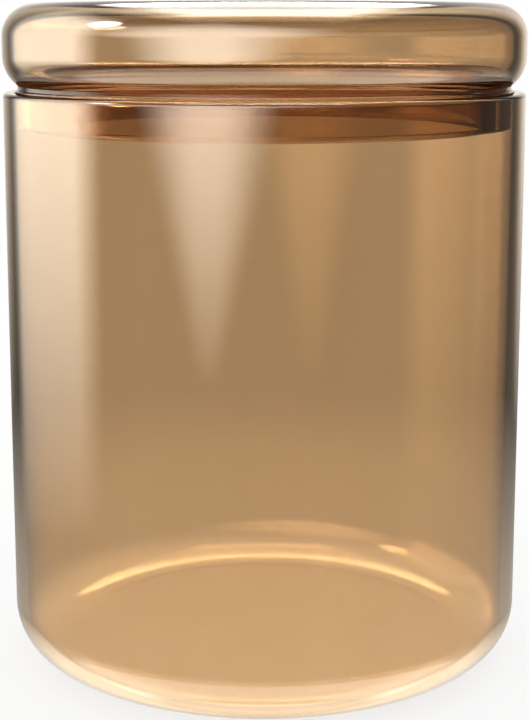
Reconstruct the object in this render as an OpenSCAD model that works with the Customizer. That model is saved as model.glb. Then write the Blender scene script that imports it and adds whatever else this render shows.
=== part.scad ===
// Round glass storage jar with a hollow stopper lid and a clear sealing sleeve.
// Millimetres, +Z up, origin at the centre of the face that the jar stands on.

/* [Jar] */
// Outside diameter of the jar
jar_diameter = 100; // [80:1:140]
// Height from the table to the top of the rim
jar_height = 110.4; // [80:0.2:160]
// Thickness of the jar's side
jar_wall = 2.4; // [2:0.1:3.6]
// Thickness of the jar's floor
jar_floor = 2.4; // [2:0.1:6]
// Outer radius of the rounded edge round the foot
foot_round = 10.5; // [6:0.5:20]
// Radius of the rim's outer edge
rim_outer_round = 0.8; // [0.4:0.1:1.1]
// Radius of the rim's inner edge, where the sleeve seats
rim_inner_round = 0.5; // [0.3:0.1:0.8]

/* [Lid] */
// How far the lid's side stands out past the jar's side
lid_overhang = 0; // [-0.5:0.1:4]
// Height of the straight band round the lid
lid_band = 3.5; // [1:0.1:20]
// Outer radius of the lid's upper edge
lid_top_round = 6.2; // [4:0.1:9]
// Outer radius of the lid's lower edge
lid_under_round = 6.9; // [5.5:0.1:9]
// Thickness of the lid's glass
lid_wall = 2.4; // [2:0.1:3]
// Radius of the hollow's lower edge, inside the lid
hollow_under_round = 4.5; // [3:0.1:5]
// Radius of the lip where the hollow opens into the plug
lip_round = 1.2; // [0.4:0.1:1.4]

/* [Plug and sleeve] */
// How far the plug reaches below the top of the rim
plug_reach = 7.1; // [5:0.1:20]
// Radial thickness of the sleeve
sleeve_thickness = 2.75; // [2:0.05:4]
// Height of sleeve that shows between the rim and the lid
sleeve_show = 1.3; // [0.9:0.1:3]
// How far the plug's end stands out below the sleeve
plug_end_show = 0.6; // [0.2:0.1:2]
// Radius of the sleeve's lower edges
sleeve_end_round = 0.7; // [0.3:0.1:0.9]
// Section radius of the seating bead round the sleeve
bead_radius = 0.45; // [0.42:0.01:0.7]

/* [Fits] */
// Radial gap between the sleeve and the jar's mouth
mouth_gap = 0.35; // [0.2:0.05:0.4]
// Gap between the sleeve and the glass that it seats on
seat_gap = 0.08; // [0.02:0.01:0.1]

/* [Hidden] */
$fn = 180;

jar_radius = jar_diameter / 2;
mouth_radius = jar_radius - jar_wall;
inner_foot_round = max(foot_round - jar_wall, jar_wall);

sleeve_outer = mouth_radius - mouth_gap;
sleeve_inner = sleeve_outer - sleeve_thickness;
plug_outer = sleeve_inner - seat_gap;
plug_inner = plug_outer - lid_wall;

lid_radius = jar_radius + lid_overhang;
under_centre_r = lid_radius - lid_under_round;
under_drop = sqrt(pow(lid_under_round, 2) - pow(sleeve_outer - under_centre_r, 2));
under_centre_z = jar_height + sleeve_show + under_drop;
lid_bottom_z = under_centre_z - lid_under_round;
lid_top_z = under_centre_z + lid_band + lid_top_round;

plug_end_z = jar_height - plug_reach;
sleeve_end_z = plug_end_z + plug_end_show;

hollow_radius = lid_radius - lid_wall;
hollow_floor_z = lid_bottom_z + lid_wall;
hollow_ceiling_z = lid_top_z - lid_wall;
hollow_top_round = lid_top_round - lid_wall;
hollow_flat = hollow_radius - hollow_under_round - plug_inner;
lip = max(min(lip_round, hollow_flat), seat_gap);

// The bead rests on the rim's inner edge: two round edges that stand the seat's gap apart.
bead_reach = rim_inner_round + bead_radius + seat_gap;
bead_lift = sqrt(pow(bead_reach, 2) - pow(rim_inner_round + mouth_gap, 2));
bead_z = jar_height - rim_inner_round + bead_lift;

// Half section of a disc from the axis out, with its own radius on the lower and the upper outer edge.
module disc_section(radius, low_z, high_z, low_round, high_round) {
    translate([0, low_z + low_round])
        square([radius, high_z - low_z - low_round - high_round]);
    translate([0, low_z])
        square([radius - low_round, low_round]);
    translate([0, high_z - high_round])
        square([radius - high_round, high_round]);
    intersection() {
        translate([radius - low_round, low_z + low_round])
            circle(low_round);
        translate([radius - low_round, low_z])
            square(low_round);
    }
    intersection() {
        translate([radius - high_round, high_z - high_round])
            circle(high_round);
        translate([radius - high_round, high_z - high_round])
            square(high_round);
    }
}

// What a round edge takes off an inner corner whose faces end at corner_r and corner_z.
module edge_waste(corner_r, corner_z, edge_round) {
    difference() {
        translate([corner_r - edge_round, corner_z - edge_round])
            square([2 * edge_round, 2 * edge_round]);
        translate([corner_r + edge_round, corner_z - edge_round])
            circle(edge_round);
        translate([corner_r, corner_z - 2 * edge_round])
            square([2 * edge_round, edge_round]);
    }
}

// Jar: one blown shell with an even wall, a flat foot and a fire-polished rim.
module jar_section() {
    open_height = 2 * jar_height;
    difference() {
        disc_section(jar_radius, 0, jar_height, foot_round, rim_outer_round);
        disc_section(mouth_radius, jar_floor, open_height, inner_foot_round, rim_inner_round);
        edge_waste(mouth_radius, jar_height, rim_inner_round);
    }
}

module jar_body() {
    color([0.74, 0.56, 0.38, 0.5])
        rotate_extrude()
            jar_section();
}

// Wall of the open plug under the lid, with a rounded end.
module plug_wall() {
    end_round = lid_wall / 2;
    translate([plug_inner, plug_end_z + end_round])
        square([lid_wall, hollow_floor_z - plug_end_z - end_round]);
    translate([plug_inner + end_round, plug_end_z + end_round])
        circle(end_round);
}

// Lid: a hollow rounded disc that opens downwards through its plug.
module lid_section() {
    difference() {
        union() {
            difference() {
                disc_section(lid_radius, lid_bottom_z, lid_top_z, lid_under_round, lid_top_round);
                translate([0, plug_end_z])
                    square([plug_inner, hollow_floor_z - plug_end_z]);
            }
            plug_wall();
        }
        disc_section(hollow_radius, hollow_floor_z, hollow_ceiling_z, hollow_under_round, hollow_top_round);
        edge_waste(plug_inner, hollow_floor_z, lip);
    }
}

module lid() {
    color([0.80, 0.62, 0.42, 0.5])
        rotate_extrude()
            lid_section();
}

// Straight part of the sleeve, with its lower edges rounded.
module sleeve_wall() {
    width = sleeve_outer - sleeve_inner;
    translate([sleeve_inner, sleeve_end_z + sleeve_end_round])
        square([width, under_centre_z - sleeve_end_z - sleeve_end_round]);
    translate([sleeve_inner + sleeve_end_round, sleeve_end_z])
        square([width - 2 * sleeve_end_round, sleeve_end_round]);
    for (corner_r = [sleeve_inner + sleeve_end_round, sleeve_outer - sleeve_end_round])
        translate([corner_r, sleeve_end_z + sleeve_end_round])
            circle(sleeve_end_round);
}

// Sealing sleeve: grips the plug, meets the lid's rounded underside and sits in the mouth on its bead.
module seal_section() {
    seat_round = lid_under_round + seat_gap;
    difference() {
        union() {
            sleeve_wall();
            translate([sleeve_outer, bead_z])
                circle(bead_radius);
        }
        translate([under_centre_r, under_centre_z])
            circle(seat_round);
        translate([under_centre_r - seat_round, under_centre_z - seat_round])
            square([seat_round, 2 * seat_round]);
    }
}

module seal_ring() {
    color([0.90, 0.91, 0.90, 0.6])
        rotate_extrude()
            seal_section();
}

jar_body();
lid();
seal_ring();
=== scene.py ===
import math

import bmesh
import bpy
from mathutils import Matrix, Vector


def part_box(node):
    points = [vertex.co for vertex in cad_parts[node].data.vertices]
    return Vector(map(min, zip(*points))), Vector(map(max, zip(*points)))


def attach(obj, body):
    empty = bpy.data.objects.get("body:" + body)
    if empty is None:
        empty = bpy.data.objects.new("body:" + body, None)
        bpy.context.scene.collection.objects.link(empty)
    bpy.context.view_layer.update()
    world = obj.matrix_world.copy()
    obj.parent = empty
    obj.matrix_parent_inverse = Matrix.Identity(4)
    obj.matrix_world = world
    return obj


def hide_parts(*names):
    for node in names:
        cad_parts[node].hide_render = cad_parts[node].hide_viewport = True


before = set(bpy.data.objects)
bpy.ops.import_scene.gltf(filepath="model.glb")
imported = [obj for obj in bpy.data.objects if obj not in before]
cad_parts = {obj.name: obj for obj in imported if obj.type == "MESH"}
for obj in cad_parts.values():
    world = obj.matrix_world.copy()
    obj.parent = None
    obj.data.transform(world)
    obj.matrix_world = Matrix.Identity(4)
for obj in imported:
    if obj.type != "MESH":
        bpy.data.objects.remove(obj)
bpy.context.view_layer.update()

# Section sizes are millimetres, as in the part's source; the frame is metres.
MM = 0.001
AROUND = 256
ARC_STEP = 4.0
FEWEST_STEPS = 6
MERGE_REACH = 0.002
SMOOTH_BELOW = math.radians(40)
LARGE_FACES_LEAD = 100

JAR_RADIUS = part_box("jar_body")[1][0] / MM
RIM_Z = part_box("jar_body")[1][2] / MM
GLASS_WALL = 2.4
JAR_FLOOR = 2.4
FOOT_ROUND = 10.5
RIM_OUTER_ROUND = 0.8
RIM_INNER_ROUND = 0.5
MOUTH_RADIUS = JAR_RADIUS - GLASS_WALL
INNER_FOOT_ROUND = FOOT_ROUND - GLASS_WALL

LID_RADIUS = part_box("lid")[1][0] / MM
LID_TOP_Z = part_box("lid")[1][2] / MM
PLUG_END_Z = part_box("lid")[0][2] / MM
LID_TOP_ROUND = 6.2
LID_UNDER_ROUND = 6.9
LID_BAND = 3.5
HOLLOW_UNDER_ROUND = 4.5
UNDER_CENTRE_R = LID_RADIUS - LID_UNDER_ROUND
UNDER_CENTRE_Z = LID_TOP_Z - LID_TOP_ROUND - LID_BAND
HOLLOW_RADIUS = LID_RADIUS - GLASS_WALL
HOLLOW_FLOOR_Z = UNDER_CENTRE_Z - LID_UNDER_ROUND + GLASS_WALL
HOLLOW_CEILING_Z = LID_TOP_Z - GLASS_WALL
HOLLOW_TOP_ROUND = LID_TOP_ROUND - GLASS_WALL

MOUTH_GAP = 0.35
SEAT_GAP = 0.08
SLEEVE_THICKNESS = 2.75
SLEEVE_END_ROUND = 0.7
SLEEVE_RELIEF = 0.7
SLEEVE_GRIP = 0.4
BEAD_RADIUS = 0.45
SLEEVE_OUTER = MOUTH_RADIUS - MOUTH_GAP
SLEEVE_INNER = SLEEVE_OUTER - SLEEVE_THICKNESS
SLEEVE_END_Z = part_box("seal_ring")[0][2] / MM
PLUG_OUTER = SLEEVE_INNER - SEAT_GAP
PLUG_INNER = PLUG_OUTER - GLASS_WALL
LIP_ROUND = HOLLOW_RADIUS - HOLLOW_UNDER_ROUND - PLUG_INNER


# Drawing a section: a pen in the plane y = 0 that leaves a line of edges behind it.

def pen():
    mesh = bmesh.from_edit_mesh(bpy.context.object.data)
    return next(v.co.copy() for v in mesh.verts if v.select)


def start_section(name, r, z):
    bpy.ops.object.select_all(action="DESELECT")
    bpy.ops.mesh.primitive_plane_add(size=MM, location=(0, 0, 0))
    bpy.context.object.name = name
    bpy.ops.object.mode_set(mode="EDIT")
    bpy.ops.mesh.merge(type="CENTER")
    bpy.ops.transform.translate(value=(r * MM, 0, z * MM))


def line_to(r, z):
    here = pen()
    step = (r * MM - here.x, 0, z * MM - here.z)
    bpy.ops.mesh.extrude_vertices_move(TRANSFORM_OT_translate={"value": step})


def arc_about(r, z, degrees):
    """Turns the pen about a centre; positive degrees turn it from the outside towards the top."""
    steps = max(FEWEST_STEPS, math.ceil(abs(degrees) / ARC_STEP))
    bpy.ops.mesh.spin(
        steps=steps, angle=math.radians(degrees), center=(r * MM, 0, z * MM), axis=(0, 1, 0)
    )


def revolve():
    """Turns the drawn section once round the jar's axis and returns the smooth closed shell."""
    bpy.ops.mesh.select_all(action="SELECT")
    bpy.ops.mesh.spin(steps=AROUND, angle=2 * math.pi, center=(0, 0, 0), axis=(0, 0, 1))
    bpy.ops.mesh.select_all(action="SELECT")
    bpy.ops.mesh.remove_doubles(threshold=MERGE_REACH * MM)
    bpy.ops.mesh.normals_make_consistent(inside=False)
    bpy.ops.object.mode_set(mode="OBJECT")
    shell = bpy.context.object
    bpy.ops.object.shade_smooth_by_angle(angle=SMOOTH_BELOW)
    even = shell.modifiers.new("even_normals", "WEIGHTED_NORMAL")
    even.keep_sharp = True
    even.weight = LARGE_FACES_LEAD
    bpy.ops.object.modifier_apply(modifier=even.name)
    return shell


# The three pieces.

def make_jar():
    start_section("jar_shell", 0, 0)
    line_to(JAR_RADIUS - FOOT_ROUND, 0)
    arc_about(JAR_RADIUS - FOOT_ROUND, FOOT_ROUND, 90)
    line_to(JAR_RADIUS, RIM_Z - RIM_OUTER_ROUND)
    arc_about(JAR_RADIUS - RIM_OUTER_ROUND, RIM_Z - RIM_OUTER_ROUND, 90)
    line_to(MOUTH_RADIUS + RIM_INNER_ROUND, RIM_Z)
    arc_about(MOUTH_RADIUS + RIM_INNER_ROUND, RIM_Z - RIM_INNER_ROUND, 90)
    line_to(MOUTH_RADIUS, JAR_FLOOR + INNER_FOOT_ROUND)
    arc_about(MOUTH_RADIUS - INNER_FOOT_ROUND, JAR_FLOOR + INNER_FOOT_ROUND, -90)
    line_to(0, JAR_FLOOR)
    return revolve()


def make_lid():
    plug_end_round = GLASS_WALL / 2
    under_turn = math.degrees(math.acos((PLUG_OUTER - UNDER_CENTRE_R) / LID_UNDER_ROUND))
    start_section("lid_shell", 0, LID_TOP_Z)
    line_to(LID_RADIUS - LID_TOP_ROUND, LID_TOP_Z)
    arc_about(LID_RADIUS - LID_TOP_ROUND, LID_TOP_Z - LID_TOP_ROUND, -90)
    line_to(LID_RADIUS, UNDER_CENTRE_Z)
    arc_about(UNDER_CENTRE_R, UNDER_CENTRE_Z, -under_turn)
    line_to(PLUG_OUTER, PLUG_END_Z + plug_end_round)
    arc_about(PLUG_OUTER - plug_end_round, PLUG_END_Z + plug_end_round, -180)
    line_to(PLUG_INNER, HOLLOW_FLOOR_Z - LIP_ROUND)
    arc_about(PLUG_INNER + LIP_ROUND, HOLLOW_FLOOR_Z - LIP_ROUND, -90)
    line_to(HOLLOW_RADIUS - HOLLOW_UNDER_ROUND, HOLLOW_FLOOR_Z)
    arc_about(HOLLOW_RADIUS - HOLLOW_UNDER_ROUND, HOLLOW_FLOOR_Z + HOLLOW_UNDER_ROUND, 90)
    line_to(HOLLOW_RADIUS, HOLLOW_CEILING_Z - HOLLOW_TOP_ROUND)
    arc_about(HOLLOW_RADIUS - HOLLOW_TOP_ROUND, HOLLOW_CEILING_Z - HOLLOW_TOP_ROUND, 90)
    line_to(0, HOLLOW_CEILING_Z)
    return revolve()


def make_sleeve():
    """Its lower inner face steps back from the plug, and its bead seats on the rim's inner edge."""
    seat_round = LID_UNDER_ROUND + SEAT_GAP
    inner_turn = math.acos((SLEEVE_INNER - UNDER_CENTRE_R) / seat_round)
    outer_turn = math.acos((SLEEVE_OUTER - UNDER_CENTRE_R) / seat_round)
    inner_top_z = UNDER_CENTRE_Z - seat_round * math.sin(inner_turn)
    outer_top_z = UNDER_CENTRE_Z - seat_round * math.sin(outer_turn)
    bead_reach = RIM_INNER_ROUND + BEAD_RADIUS + SEAT_GAP
    bead_lift = math.sqrt(bead_reach ** 2 - (RIM_INNER_ROUND + MOUTH_GAP) ** 2)
    bead_z = RIM_Z - RIM_INNER_ROUND + bead_lift
    relieved = SLEEVE_INNER + SLEEVE_RELIEF
    end_centre_z = SLEEVE_END_Z + SLEEVE_END_ROUND
    start_section("sealing_sleeve", SLEEVE_INNER, inner_top_z)
    line_to(SLEEVE_INNER, RIM_Z - SLEEVE_GRIP)
    line_to(relieved, RIM_Z - SLEEVE_GRIP - SLEEVE_RELIEF)
    line_to(relieved, end_centre_z)
    arc_about(relieved + SLEEVE_END_ROUND, end_centre_z, 90)
    line_to(SLEEVE_OUTER - SLEEVE_END_ROUND, SLEEVE_END_Z)
    arc_about(SLEEVE_OUTER - SLEEVE_END_ROUND, end_centre_z, 90)
    line_to(SLEEVE_OUTER, bead_z - BEAD_RADIUS)
    arc_about(SLEEVE_OUTER, bead_z, 180)
    line_to(SLEEVE_OUTER, outer_top_z)
    arc_about(UNDER_CENTRE_R, UNDER_CENTRE_Z, -math.degrees(inner_turn - outer_turn))
    return revolve()


# Shader nodes. A value that a node takes may be a number, a colour or another node's output.

COLUMN_WIDTH = 220
ROW_HEIGHT = 260
MIX_SHARE = 0
MIX_NUMBERS = (2, 3)
MIX_COLOURS = (6, 7)
MIXED_NUMBER = 0
MIXED_COLOUR = 2


def add_node(tree, kind, **settings):
    node = tree.nodes.new(kind)
    for key, value in settings.items():
        setattr(node, key, value)
    return node


def feed(tree, given, socket):
    if isinstance(given, bpy.types.NodeSocket):
        tree.links.new(given, socket)
    else:
        socket.default_value = given


def compute(tree, operation, first, *others):
    """Joins values one after another with one operation, or works it on a single value."""
    result = first
    for other in others or (None,):
        node = add_node(tree, "ShaderNodeMath", operation=operation)
        feed(tree, result, node.inputs[0])
        if other is not None:
            feed(tree, other, node.inputs[1])
        result = node.outputs["Value"]
    return result


def noise(tree, vector, scale, detail):
    node = add_node(tree, "ShaderNodeTexNoise")
    node.inputs["Scale"].default_value = scale
    node.inputs["Detail"].default_value = detail
    tree.links.new(vector, node.inputs["Vector"])
    return node.outputs["Fac"]


def spread(tree, value, low, high, to_low, to_high, kind="SMOOTHSTEP"):
    node = add_node(tree, "ShaderNodeMapRange", interpolation_type=kind)
    node.inputs["From Min"].default_value = low
    node.inputs["From Max"].default_value = high
    node.inputs["To Min"].default_value = to_low
    node.inputs["To Max"].default_value = to_high
    tree.links.new(value, node.inputs["Value"])
    return node.outputs["Result"]


def window(tree, value, rise_from, rise_to, fall_from, fall_to, kind="SMOOTHSTEP"):
    """One inside a stretch of a value and nought outside it, with an edge at each end."""
    rise = spread(tree, value, rise_from, rise_to, 0.0, 1.0, kind)
    fall = spread(tree, value, fall_from, fall_to, 1.0, 0.0, kind)
    return compute(tree, "MULTIPLY", rise, fall)


def mix_numbers(tree, share, first, second):
    node = add_node(tree, "ShaderNodeMix")
    feed(tree, share, node.inputs[MIX_SHARE])
    for value, place in zip((first, second), MIX_NUMBERS):
        feed(tree, value, node.inputs[place])
    return node.outputs[MIXED_NUMBER]


def mix_colours(tree, share, first, second, blend="MIX"):
    node = add_node(tree, "ShaderNodeMix", data_type="RGBA", blend_type=blend)
    feed(tree, share, node.inputs[MIX_SHARE])
    for value, place in zip((first, second), MIX_COLOURS):
        feed(tree, value, node.inputs[place])
    return node.outputs[MIXED_COLOUR]


def arrange(tree):
    """Lays the nodes out in columns, each node to the left of all that it feeds."""
    columns = {node.name: 0 for node in tree.nodes}
    for _ in tree.nodes:
        for link in tree.links:
            source = link.from_node.name
            columns[source] = max(columns[source], columns[link.to_node.name] + 1)
    filled = dict.fromkeys(columns.values(), 0)
    for node in tree.nodes:
        column = columns[node.name]
        node.location = (-column * COLUMN_WIDTH, -filled[column] * ROW_HEIGHT)
        filled[column] += 1


# Finishes.

AMBER_GLASS = {
    "tint": (0.65, 0.505, 0.345, 1.0),
    "ior": 1.5,
    "gloss": 1.0,
    "streak": 0.10,
    "wipe": 0.02,
    "ripple_depth": 0.00002,
}
CLEAR_SILICONE = {
    "tint": (0.85, 0.74, 0.70, 1.0),
    "ior": 1.41,
    "gloss": 0.35,
    "streak": 0.05,
    "wipe": 0.03,
    "ripple_depth": 0.00001,
}
DRAWN_OUT = (1.0, 1.0, 0.12)
STREAK_SCALE = 70.0
STREAK_DETAIL = 3.0
STREAK_EDGE = (0.3, 0.7)
STREAK_TINT = (0.80, 0.72, 0.60, 1.0)
WIPE_SCALE = 45.0
WIPE_DETAIL = 4.0
WIPE_EDGE = (0.5, 0.85)
RIPPLE_SCALE = 38.0
RIPPLE_DETAIL = 1.0


def make_blown_surface():
    """Group: faint drawn streaks in the tint, wipe marks in the gloss and a slow ripple."""
    tree = bpy.data.node_groups.new("blown_surface", "ShaderNodeTree")
    tree.interface.new_socket("Tint", in_out="INPUT", socket_type="NodeSocketColor")
    tree.interface.new_socket("Streak", in_out="INPUT", socket_type="NodeSocketFloat")
    tree.interface.new_socket("Wipe", in_out="INPUT", socket_type="NodeSocketFloat")
    tree.interface.new_socket("Color", in_out="OUTPUT", socket_type="NodeSocketColor")
    tree.interface.new_socket("Roughness", in_out="OUTPUT", socket_type="NodeSocketFloat")
    tree.interface.new_socket("Ripple", in_out="OUTPUT", socket_type="NodeSocketFloat")
    given = add_node(tree, "NodeGroupInput")
    made = add_node(tree, "NodeGroupOutput")
    place = add_node(tree, "ShaderNodeTexCoord")
    drawn = add_node(tree, "ShaderNodeMapping")
    drawn.inputs["Scale"].default_value = DRAWN_OUT
    tree.links.new(place.outputs["Object"], drawn.inputs["Vector"])

    streaks = noise(tree, drawn.outputs["Vector"], STREAK_SCALE, STREAK_DETAIL)
    darker = spread(tree, streaks, *STREAK_EDGE, 0.0, 1.0)
    amount = compute(tree, "MULTIPLY", darker, given.outputs["Streak"])
    tint = mix_colours(tree, amount, given.outputs["Tint"], STREAK_TINT, "MULTIPLY")
    tree.links.new(tint, made.inputs["Color"])

    marks = noise(tree, place.outputs["Object"], WIPE_SCALE, WIPE_DETAIL)
    wiped = spread(tree, marks, *WIPE_EDGE, 0.0, 1.0)
    dulled = compute(tree, "MULTIPLY", wiped, given.outputs["Wipe"])
    tree.links.new(dulled, made.inputs["Roughness"])

    ripple = noise(tree, place.outputs["Object"], RIPPLE_SCALE, RIPPLE_DETAIL)
    tree.links.new(ripple, made.inputs["Ripple"])
    arrange(tree)
    return tree


def make_finish(name, surface, tint, ior, gloss, streak, wipe, ripple_depth):
    finish = bpy.data.materials.new(name)
    finish.use_nodes = True
    tree = finish.node_tree
    shader = tree.nodes["Principled BSDF"]
    shader.inputs["IOR"].default_value = ior
    shader.inputs["Transmission Weight"].default_value = 1.0
    shader.inputs["Specular Tint"].default_value = (gloss, gloss, gloss, 1.0)
    group = add_node(tree, "ShaderNodeGroup", node_tree=surface)
    group.inputs["Tint"].default_value = tint
    group.inputs["Streak"].default_value = streak
    group.inputs["Wipe"].default_value = wipe
    bump = add_node(tree, "ShaderNodeBump")
    bump.inputs["Distance"].default_value = ripple_depth
    tree.links.new(group.outputs["Color"], shader.inputs["Base Color"])
    tree.links.new(group.outputs["Roughness"], shader.inputs["Roughness"])
    tree.links.new(group.outputs["Ripple"], bump.inputs["Height"])
    tree.links.new(bump.outputs["Normal"], shader.inputs["Normal"])
    arrange(tree)
    return finish


def dress(piece, finish, node, body):
    piece.data.materials.append(finish)
    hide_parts(node)
    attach(piece, body)


# Studio. What goes straight through the glass meets a white backdrop. A reflection meets a dim
# room with lights that are set by where they lie: bearings run from straight back to the right
# and elevations from the horizon up, in degrees. An edge is where a change starts and ends. Sides,
# heights and lengths are where a light begins, is full, starts to fade and has gone.

WHITE = (1.0, 1.0, 1.0, 1.0)
WARM_WHITE = (1.0, 0.93, 0.83, 1.0)
HALF_A_BOUNCE = 0.5
ROOM_LEVEL = 0.12

# A white sheet behind the jar.
SHEET_LEVEL = 1.05
SHEET_SIDES = (-40, -13, 24, 36)
SHEET_HEIGHTS = (-17, -3, 60, 80)

# Light from below all round, and a card below in front. Only a share of both comes from steeply
# below: the first share is for the outside of the glass and the second for what is behind a wall.
LOW_LEVEL = 1.8
LOW_EDGE = (-39, -11)
CARD_LEVEL = 4.0
CARD_EDGE = (-34, -27)
CARD_FRONT = (0.05, 0.35)
STEEP_EDGE = (-72, -58)
STEEP_WALLS = (0, 1)
STEEP_SHARES = (0.25, 0.85)

# Soft boxes at the left and the front left, measured from their own bearings. The left one fades
# slowly towards the back and is cut off at its end. The front one has a tip below and one above,
# widens by its taper from each, and has its edge in shares of its half width.
LEFT_LEVEL = 7.7
LEFT_BEARING = -90
LEFT_SIDES = (-16, -2, 2, 60)
LEFT_END = (46, 54)
LEFT_HEIGHTS = (-18, -3, 36, 48)
FRONT_LEVEL = 9.0
FRONT_BEARING = -156
FRONT_HEIGHTS = (-12.8, -1.5, 28, 48)
FRONT_WIDEST = 40
FRONT_TIPS = (-14.9, 50)
FRONT_TAPER = 1.7
FRONT_EDGE = (0.22, 1.67)

# A soft box overhead, brighter at its back, in steps to the right or back for each step up. Behind
# one to three walls it is dimmer, and most of what is left comes from its front.
TOP_LEVEL = 12.0
TOP_SIDES = (-0.52, -0.30, 0.33, 0.55)
TOP_LENGTH = (-0.42, -0.14, 1.2, 1.5)
BACK_LEVEL = 16.0
BACK_LENGTH = (0.5, 0.8, 1.25, 1.45)
INSIDE_LEVELS = (4.5, 0.5)
INSIDE_EDGE = (0.3, 0.5)
INSIDE_WALLS = (0.4, 0.6, 3.4, 3.6)

# A small lamp at the left, whose edge is measured from its middle.
LAMP_LEVEL = 25.0
LAMP_BEARING = -100
LAMP_ELEVATION = 33
LAMP_EDGE = (6.5, 8.5)

# Stand-ins for long paths inside the glass: a side light that shows behind four walls or more,
# and a deep amber over the whole room from a ray's second reflection on.
INNER_LEVEL = 3.3
INNER_WALLS = (3, 4)
INNER_SIDES = (-56, -40, -18, -6)
INNER_HEIGHTS = (-18, -4, 4, 20)
DEEP_REFLECTIONS = (1, 2)
DEEP_AMBER = (0.11, 0.05, 0.028, 1.0)

# Paper under the jar, in metres: a near and a far painted pool of light round the axis, a glow that
# only shows through the glass.
PAPER = (0.2, 0.2, 0.2, 1.0)
PAPER_GLOW = 0.8
FLOOR_RADIUS = 3.0
FLOOR_SIDES = 96
FLOOR_CLEAR = 0.0002
POOL_LIGHT = 0.68
POOL_NEAR = (0.045, 0.075)
POOL_LIGHT_FAR = 0.22
POOL_FAR = (0.10, 0.24)


def along(tree, aim, direction):
    node = add_node(tree, "ShaderNodeVectorMath", operation="DOT_PRODUCT")
    node.inputs[1].default_value = direction
    tree.links.new(aim, node.inputs[0])
    return node.outputs["Value"]


def bearing_from(tree, aim, bearing):
    """Degrees by which a direction lies to the right of a bearing."""
    turn = math.radians(bearing)
    right = along(tree, aim, (math.cos(turn), -math.sin(turn), 0.0))
    ahead = along(tree, aim, (math.sin(turn), math.cos(turn), 0.0))
    return compute(tree, "DEGREES", compute(tree, "ARCTAN2", right, ahead))


def rear_sheet(tree, aim, elevation):
    side = window(tree, bearing_from(tree, aim, 0), *SHEET_SIDES, "LINEAR")
    height = window(tree, elevation, *SHEET_HEIGHTS, "LINEAR")
    return compute(tree, "MULTIPLY", side, height, SHEET_LEVEL)


def light_below(tree, split, elevation, walls):
    low = spread(tree, elevation, *LOW_EDGE, LOW_LEVEL, 0.0, "LINEAR")
    card = spread(tree, elevation, *CARD_EDGE, CARD_LEVEL, 0.0)
    in_front = spread(tree, split.outputs["Y"], *CARD_FRONT, 1.0, 0.0)
    front_card = compute(tree, "MULTIPLY", card, in_front)
    brightest = compute(tree, "MAXIMUM", low, front_card)
    shallow = spread(tree, elevation, *STEEP_EDGE, 0.0, 1.0)
    steep = spread(tree, walls, *STEEP_WALLS, *STEEP_SHARES, "LINEAR")
    kept = compute(tree, "MAXIMUM", shallow, steep)
    return compute(tree, "MULTIPLY", brightest, kept)


def left_box(tree, aim, elevation):
    off_middle = bearing_from(tree, aim, LEFT_BEARING)
    side = window(tree, off_middle, *LEFT_SIDES, "LINEAR")
    end = spread(tree, off_middle, *LEFT_END, 1.0, 0.0, "LINEAR")
    height = window(tree, elevation, *LEFT_HEIGHTS, "LINEAR")
    return compute(tree, "MULTIPLY", side, end, height, LEFT_LEVEL)


def front_box(tree, aim, elevation):
    """A square soft box that hangs by one corner, so it is widest at half its height."""
    below = compute(tree, "SUBTRACT", elevation, FRONT_TIPS[0])
    above = compute(tree, "SUBTRACT", FRONT_TIPS[1], elevation)
    nearest_tip = compute(tree, "MINIMUM", below, above)
    tapered = compute(tree, "MULTIPLY", nearest_tip, FRONT_TAPER)
    half_width = compute(tree, "MINIMUM", tapered, FRONT_WIDEST)
    off_middle = compute(tree, "ABSOLUTE", bearing_from(tree, aim, FRONT_BEARING))
    share = compute(tree, "DIVIDE", off_middle, half_width)
    side = spread(tree, share, *FRONT_EDGE, 1.0, 0.0)
    inside = compute(tree, "GREATER_THAN", half_width, 0.0)
    height = window(tree, elevation, *FRONT_HEIGHTS, "LINEAR")
    return compute(tree, "MULTIPLY", side, inside, height, FRONT_LEVEL)


def top_box(tree, split, walls):
    across = compute(tree, "DIVIDE", split.outputs["X"], split.outputs["Z"])
    back = compute(tree, "DIVIDE", split.outputs["Y"], split.outputs["Z"])
    overhead = compute(tree, "GREATER_THAN", split.outputs["Z"], 0.0)
    side = window(tree, across, *TOP_SIDES)
    whole = window(tree, back, *TOP_LENGTH)
    whole_light = compute(tree, "MULTIPLY", whole, TOP_LEVEL)
    far_light = compute(tree, "MULTIPLY", window(tree, back, *BACK_LENGTH), BACK_LEVEL)
    outside_light = compute(tree, "ADD", whole_light, far_light)
    inside_level = spread(tree, back, *INSIDE_EDGE, *INSIDE_LEVELS)
    inside_light = compute(tree, "MULTIPLY", whole, inside_level)
    inside = window(tree, walls, *INSIDE_WALLS)
    light = mix_numbers(tree, inside, outside_light, inside_light)
    return compute(tree, "MULTIPLY", light, side, overhead)


def lamp(tree, aim):
    turn = math.radians(LAMP_BEARING)
    lift = math.radians(LAMP_ELEVATION)
    flat = math.cos(lift)
    toward = (math.sin(turn) * flat, math.cos(turn) * flat, math.sin(lift))
    full, gone = (math.cos(math.radians(edge)) for edge in LAMP_EDGE)
    return spread(tree, along(tree, aim, toward), gone, full, 0.0, LAMP_LEVEL)


def inner_light(tree, aim, elevation, walls):
    side = window(tree, bearing_from(tree, aim, 0), *INNER_SIDES)
    height = window(tree, elevation, *INNER_HEIGHTS, "LINEAR")
    level = spread(tree, walls, *INNER_WALLS, 0.0, INNER_LEVEL, "LINEAR")
    return compute(tree, "MULTIPLY", side, height, level)


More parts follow.
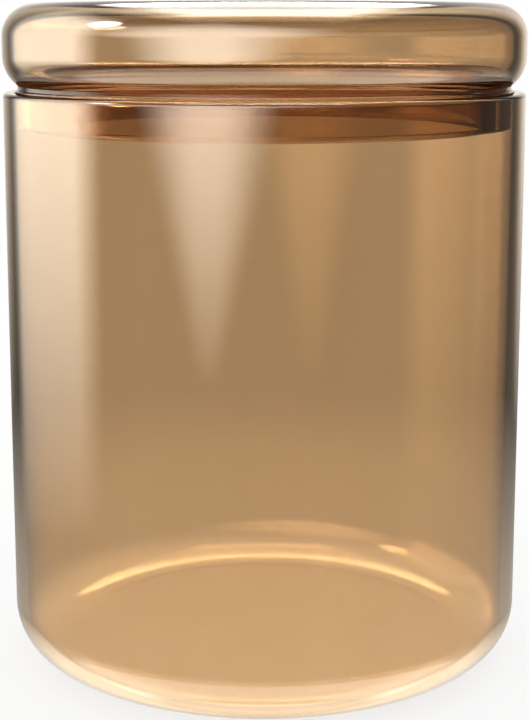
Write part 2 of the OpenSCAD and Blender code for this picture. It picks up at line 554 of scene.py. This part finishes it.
def room_light(tree, walls):
    """How bright the room is in the direction that a reflection takes."""
    aim = add_node(tree, "ShaderNodeTexCoord").outputs["Generated"]
    split = add_node(tree, "ShaderNodeSeparateXYZ")
    tree.links.new(aim, split.inputs["Vector"])
    elevation = compute(tree, "DEGREES", compute(tree, "ARCSINE", split.outputs["Z"]))
    sheet = rear_sheet(tree, aim, elevation)
    below = light_below(tree, split, elevation, walls)
    plain = compute(tree, "MAXIMUM", ROOM_LEVEL, sheet, below)
    left = left_box(tree, aim, elevation)
    front = front_box(tree, aim, elevation)
    top = top_box(tree, split, walls)
    spot = lamp(tree, aim)
    inner = inner_light(tree, aim, elevation, walls)
    return compute(tree, "ADD", plain, left, front, top, spot, inner)


def split_by_reflection(tree, reflections, straight, mirrored, out):
    """Shows one shader to rays that come straight and another to rays that were reflected."""
    pick = add_node(tree, "ShaderNodeMixShader")
    was_reflected = compute(tree, "GREATER_THAN", reflections, HALF_A_BOUNCE)
    tree.links.new(was_reflected, pick.inputs["Fac"])
    tree.links.new(straight, pick.inputs[1])
    tree.links.new(mirrored, pick.inputs[2])
    tree.links.new(pick.outputs["Shader"], out.inputs["Surface"])


def make_world():
    world = bpy.data.worlds.new("studio")
    bpy.context.scene.world = world
    world.use_nodes = True
    tree = world.node_tree
    tree.nodes.clear()
    out = add_node(tree, "ShaderNodeOutputWorld")
    path = add_node(tree, "ShaderNodeLightPath")
    reflections = path.outputs["Glossy Depth"]
    white = add_node(tree, "ShaderNodeBackground")
    white.inputs["Color"].default_value = WHITE
    room = add_node(tree, "ShaderNodeBackground")
    deep = spread(tree, reflections, *DEEP_REFLECTIONS, 0.0, 1.0, "LINEAR")
    tree.links.new(mix_colours(tree, deep, WARM_WHITE, DEEP_AMBER), room.inputs["Color"])
    tree.links.new(room_light(tree, path.outputs["Transmission Depth"]), room.inputs["Strength"])
    straight = white.outputs["Background"]
    split_by_reflection(tree, reflections, straight, room.outputs["Background"], out)
    arrange(tree)


def make_paper():
    """Pale paper with an even glow and a painted pool of light round the axis, which glows where it
    shows through the glass; it is clear to reflections.
    """
    paper = bpy.data.materials.new("pale_paper")
    paper.use_nodes = True
    tree = paper.node_tree
    tree.nodes.clear()
    out = add_node(tree, "ShaderNodeOutputMaterial")
    path = add_node(tree, "ShaderNodeLightPath")
    place = add_node(tree, "ShaderNodeTexCoord")
    reach = add_node(tree, "ShaderNodeVectorMath", operation="LENGTH")
    tree.links.new(place.outputs["Object"], reach.inputs[0])
    # Painted pool of light: extra glow near the jar's axis, seen only by rays that come through the
    # glass.
    near = spread(tree, reach.outputs["Value"], *POOL_NEAR, POOL_LIGHT, 0.0)
    far = spread(tree, reach.outputs["Value"], *POOL_FAR, POOL_LIGHT_FAR, 0.0)
    pool = compute(tree, "ADD", near, far)
    through = compute(tree, "MULTIPLY", pool, path.outputs["Is Transmission Ray"])
    glow = add_node(tree, "ShaderNodeEmission")
    glow.inputs["Color"].default_value = WHITE
    tree.links.new(compute(tree, "ADD", through, PAPER_GLOW), glow.inputs["Strength"])
    diffuse = add_node(tree, "ShaderNodeBsdfDiffuse")
    diffuse.inputs["Color"].default_value = PAPER
    lit = add_node(tree, "ShaderNodeAddShader")
    tree.links.new(diffuse.outputs["BSDF"], lit.inputs[0])
    tree.links.new(glow.outputs["Emission"], lit.inputs[1])
    clear = add_node(tree, "ShaderNodeBsdfTransparent")
    reflections = path.outputs["Glossy Depth"]
    split_by_reflection(tree, reflections, lit.outputs["Shader"], clear.outputs["BSDF"], out)
    arrange(tree)
    paper.cycles.emission_sampling = "NONE"
    return paper


def make_floor():
    bpy.ops.object.select_all(action="DESELECT")
    bpy.ops.mesh.primitive_circle_add(
        vertices=FLOOR_SIDES, radius=FLOOR_RADIUS, fill_type="NGON", location=(0, 0, -FLOOR_CLEAR)
    )
    floor = bpy.context.object
    floor.name = "studio_floor"
    floor.data.materials.append(make_paper())


CAMERA_PLACE = (0.0, -0.31197, 0.12256)
CAMERA_DIP = math.radians(9.917)
CAMERA_NEAR = 0.01
SENSOR_MM = 36.0
LONG_SIDE_PX = 720
FOCAL_PX = 1599.44
CENTRE_ABOVE_MIDDLE_PX = 53.3


def make_camera():
    bpy.ops.object.camera_add(location=CAMERA_PLACE, rotation=(math.pi / 2 - CAMERA_DIP, 0, 0))
    camera = bpy.context.object
    camera.data.sensor_width = SENSOR_MM
    camera.data.lens = FOCAL_PX / LONG_SIDE_PX * SENSOR_MM
    camera.data.shift_y = -CENTRE_ABOVE_MIDDLE_PX / LONG_SIDE_PX
    camera.data.clip_start = CAMERA_NEAR
    bpy.context.scene.camera = camera


# Light passes many walls of glass before it is lost, so the render follows it further than usual.
MOST_BOUNCES = 40
MOST_REFLECTIONS = 24
MOST_CLEAR_FACES = 24


def make_settings():
    scene = bpy.context.scene
    scene.view_settings.view_transform = "Standard"
    scene.cycles.max_bounces = MOST_BOUNCES
    scene.cycles.transmission_bounces = MOST_BOUNCES
    scene.cycles.glossy_bounces = MOST_REFLECTIONS
    scene.cycles.transparent_max_bounces = MOST_CLEAR_FACES


make_camera()
make_world()
make_floor()
make_settings()

blown_surface = make_blown_surface()
jar_glass = make_finish("amber_jar_glass", blown_surface, **AMBER_GLASS)
lid_glass = make_finish("amber_lid_glass", blown_surface, **AMBER_GLASS)
silicone = make_finish("clear_silicone", blown_surface, **CLEAR_SILICONE)
dress(make_jar(), jar_glass, "jar_body", "jar")
dress(make_lid(), lid_glass, "lid", "lid")
dress(make_sleeve(), silicone, "seal_ring", "seal")
